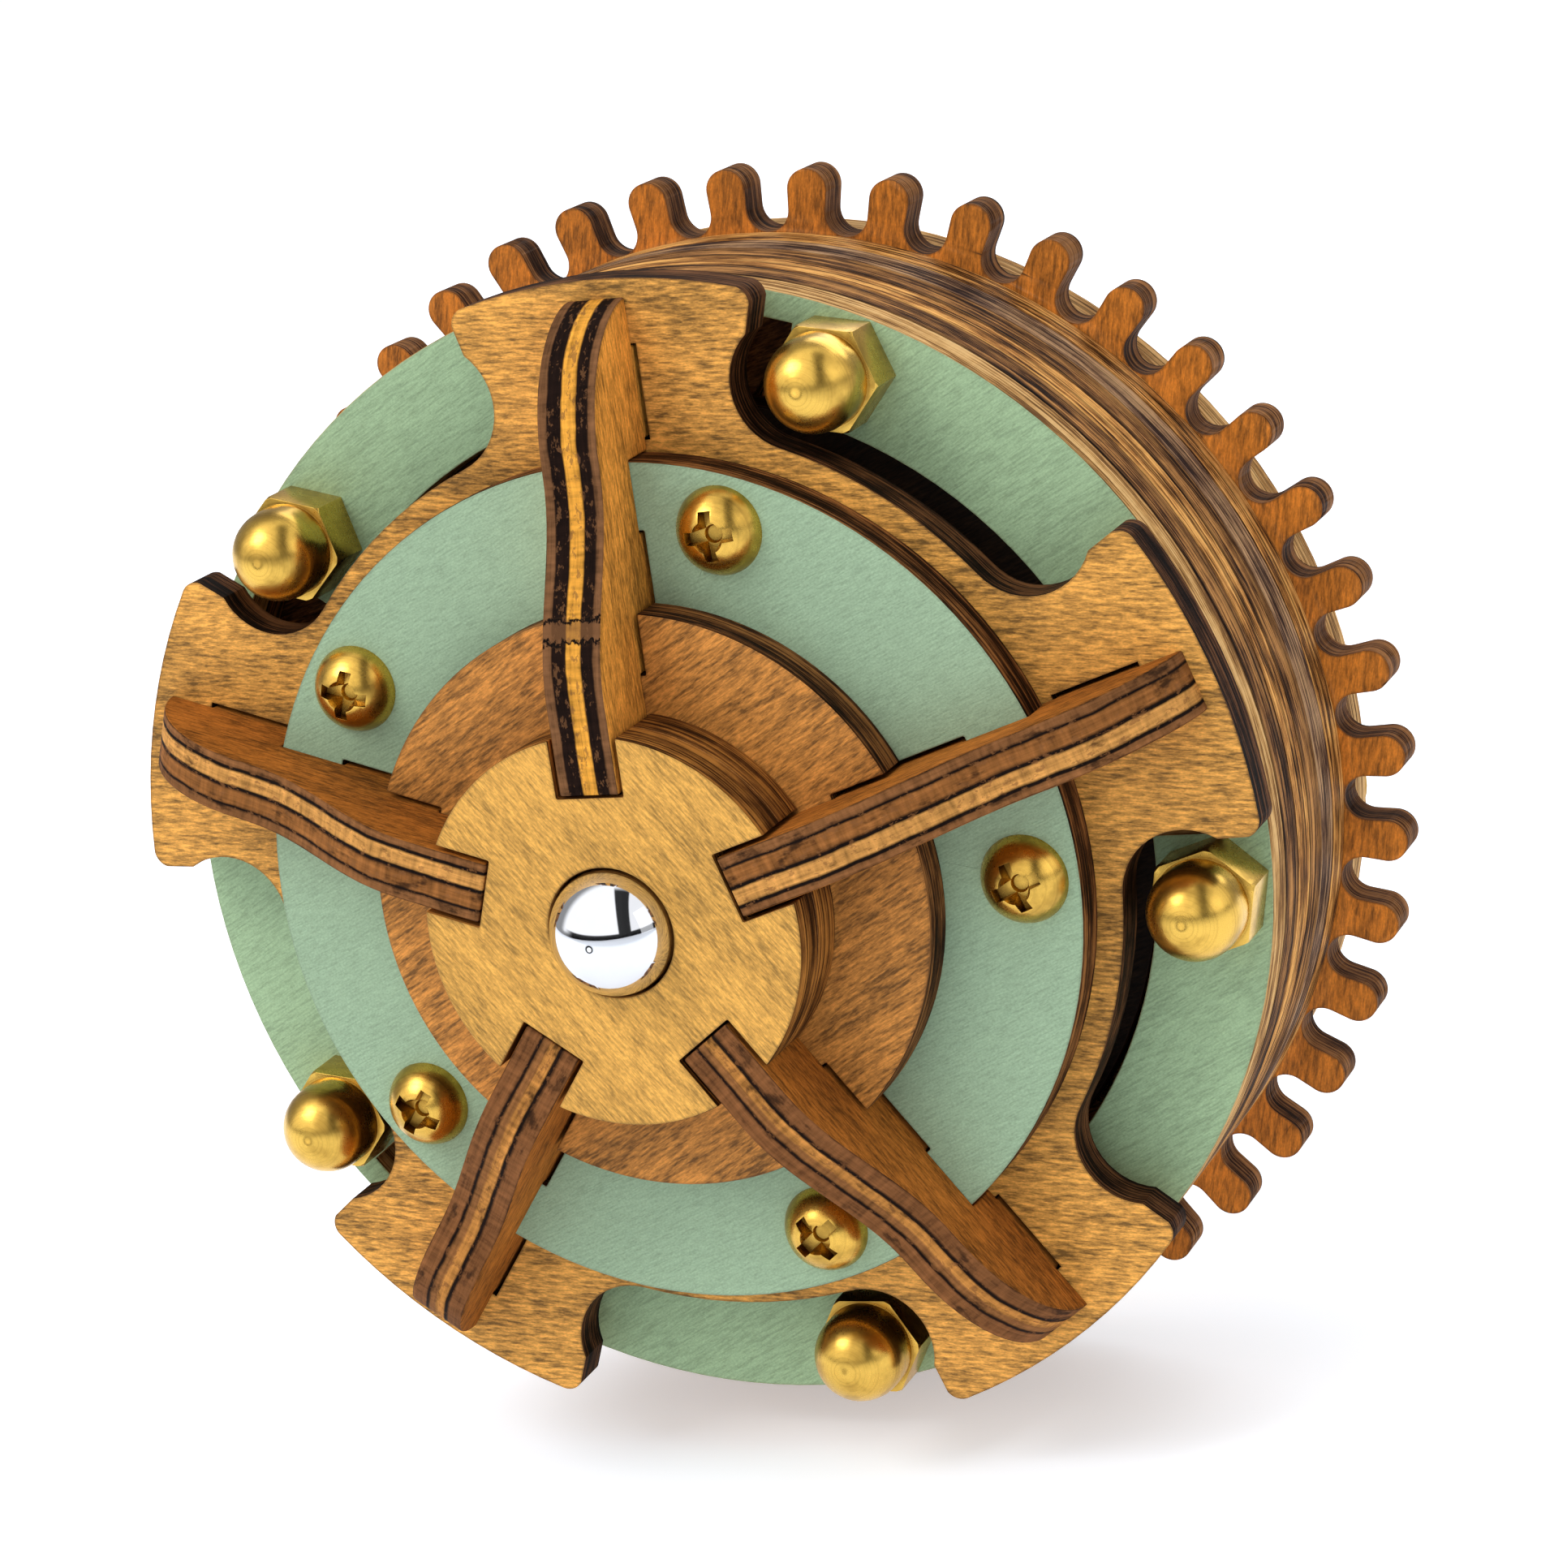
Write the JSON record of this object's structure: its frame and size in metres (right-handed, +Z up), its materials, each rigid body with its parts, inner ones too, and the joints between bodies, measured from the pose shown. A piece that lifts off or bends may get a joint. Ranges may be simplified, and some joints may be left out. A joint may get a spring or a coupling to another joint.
{
  "type": "planetary gear set",
  "caption": "Laser-cut plywood planetary gear set: toothed drum with an inner ring gear, finned star-shaped carrier, sun shaft with a domed cap, brass screws and acorn nuts.",
  "frame": {"origin": "on the wheel's axis, at the flat back face of the drum", "axes": "+Y along the axis from the front to the back, +Z up through one fin, +X to the right seen from the front"},
  "size_m": [0.0864, 0.0446, 0.0864],
  "materials": {
    "green_ply": "satin",
    "green_drum_ply": "satin",
    "light_ply": "satin",
    "amber_ply": "satin",
    "brown_ply": "satin",
    "fin_ply": "satin",
    "drum_ply": "satin",
    "gear_ply": "satin",
    "birch_ply": "satin",
    "brass": "polished",
    "chrome": "polished",
    "steel": "satin"
  },
  "bodies": {
    "drum": {"drum_front_plate": "green_drum_ply", "drum_spacer_front": "brown_ply", "ring_gear_front": "drum_ply", "ring_gear_rear": "drum_ply", "drum_spacer_rear": "brown_ply", "drum_rear_ring": "amber_ply", "toothed_plate": "gear_ply", "rear_plate": "birch_ply", "drum_bolts": "brass", "acorn_nuts": "brass", "rear_bush": "brass"},
    "carrier": {"hub_front_disc": "light_ply", "hub_rear_disc": "amber_ply", "collar_disc": "brown_ply", "carrier_disc": "green_ply", "star_plate": "amber_ply", "fin_1": "fin_ply", "fin_2": "fin_ply", "fin_3": "fin_ply", "fin_4": "fin_ply", "fin_5": "fin_ply", "planet_screws": "brass", "carrier_spacers": "brass", "planet_bushes": "brass", "carrier_inner_disc": "birch_ply", "carrier_rear_disc": "birch_ply", "planet_lock_nuts": "brass", "carrier_bush": "brass"},
    "planet_1": {"planet_1": "amber_ply"},
    "planet_2": {"planet_2": "amber_ply"},
    "planet_3": {"planet_3": "amber_ply"},
    "planet_4": {"planet_4": "amber_ply"},
    "planet_5": {"planet_5": "amber_ply"},
    "sun": {"sun_gear": "light_ply", "central_shaft": "steel", "chrome_cap": "chrome", "sun_spacer_front": "brass", "sun_spacer_rear": "brass"}
  },
  "joints": [
    {"name": "carrier_turn", "type": "hinge", "parent": "drum", "child": "carrier", "pos_m": [0, 0, 0], "axis": [0, -1, 0], "range_deg": [-1.5, 26.5]},
    {"name": "planet_1_spin", "type": "hinge", "parent": "carrier", "child": "planet_1", "pos_m": [0.00756, 0, 0.02383], "axis": [0, -1, 0], "range_deg": [-148, 9]},
    {"name": "planet_2_spin", "type": "hinge", "parent": "carrier", "child": "planet_2", "pos_m": [-0.02033, 0, 0.01455], "axis": [0, -1, 0], "range_deg": [-148, 9]},
    {"name": "planet_3_spin", "type": "hinge", "parent": "carrier", "child": "planet_3", "pos_m": [-0.02012, 0, -0.01484], "axis": [0, -1, 0], "range_deg": [-148, 9]},
    {"name": "planet_4_spin", "type": "hinge", "parent": "carrier", "child": "planet_4", "pos_m": [0.00789, 0, -0.02372], "axis": [0, -1, 0], "range_deg": [-148, 9]},
    {"name": "planet_5_spin", "type": "hinge", "parent": "carrier", "child": "planet_5", "pos_m": [0.025, 0, 0.00017], "axis": [0, -1, 0], "range_deg": [-148, 9]},
    {"name": "sun_turn", "type": "hinge", "parent": "drum", "child": "sun", "pos_m": [0, 0, 0], "axis": [0, -1, 0], "range_deg": [-4.5, 68.5]}
  ],
  "couplings": [
    {"joint": "planet_1_spin", "follows": "carrier_turn", "ratio": -5.5455},
    {"joint": "planet_2_spin", "follows": "carrier_turn", "ratio": -5.5455},
    {"joint": "planet_3_spin", "follows": "carrier_turn", "ratio": -5.5455},
    {"joint": "planet_4_spin", "follows": "carrier_turn", "ratio": -5.5455},
    {"joint": "planet_5_spin", "follows": "carrier_turn", "ratio": -5.5455},
    {"joint": "sun_turn", "follows": "carrier_turn", "ratio": 2.5641}
  ]
}
